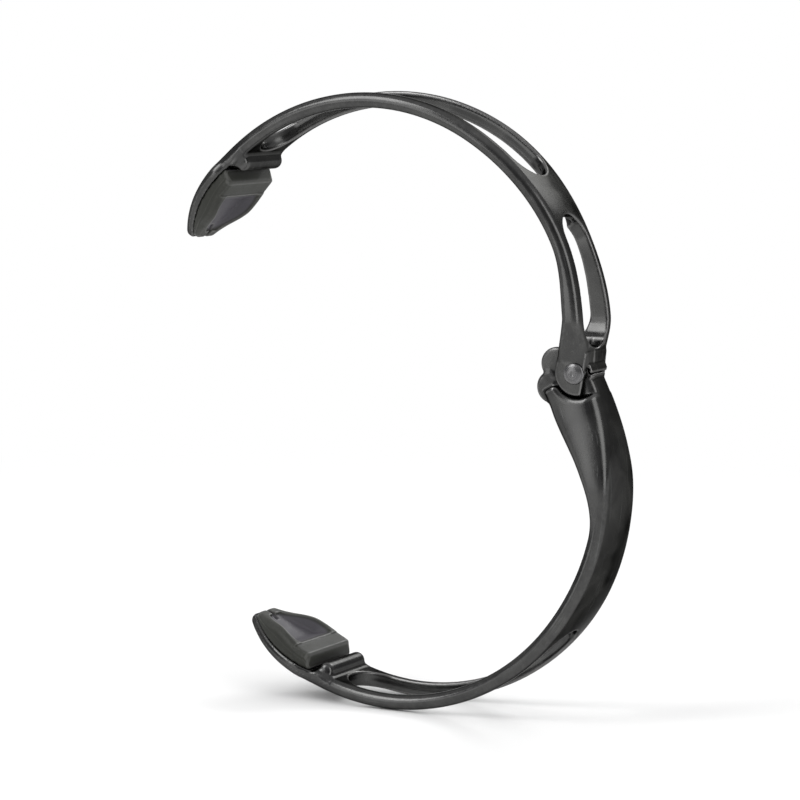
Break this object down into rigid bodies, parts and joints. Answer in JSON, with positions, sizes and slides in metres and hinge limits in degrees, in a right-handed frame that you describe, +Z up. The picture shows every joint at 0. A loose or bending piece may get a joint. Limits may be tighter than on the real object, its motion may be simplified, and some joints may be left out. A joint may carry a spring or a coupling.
{
  "type": "ring-type purse hook",
  "caption": "Ring-type purse hook in dark polished metal, open: two curved arms on one sprung hinge, a soft grip pad in each foot.",
  "frame": {"origin": "middle of the flat land at the root of the upper grip pad, the face that rests on a table top", "axes": "+Z up as pictured, +X from the feet towards the hinge, Y along the hinge pin with the rivet head at -Y; the hook is stored open on its stop"},
  "size_m": [0.0768, 0.0142, 0.096],
  "materials": {
    "dark_polished_metal": "dark polished gunmetal plating on cast zinc",
    "grip_rubber": "matt moulded soft rubber, grey-olive",
    "pin_steel": "turned and riveted steel",
    "spring_steel": "drawn spring wire",
    "bearing_plastic": "satin black acetal"
  },
  "bodies": {
    "upper": {"upper_arm": "dark_polished_metal", "upper_foot_pad": "grip_rubber", "hinge_pin": "pin_steel", "hinge_spring": "spring_steel", "front_thrust_washer": "bearing_plastic", "back_thrust_washer": "bearing_plastic"},
    "lower": {"lower_arm": "dark_polished_metal", "lower_foot_pad": "grip_rubber"}
  },
  "joints": [
    {"name": "ring_hinge", "type": "hinge", "parent": "upper", "child": "lower", "pos_m": [0.0593, 0, -0.02632], "axis": [0, 1, 0], "range_deg": [0, 50.4], "deforming": ["hinge_spring"]}
  ]
}
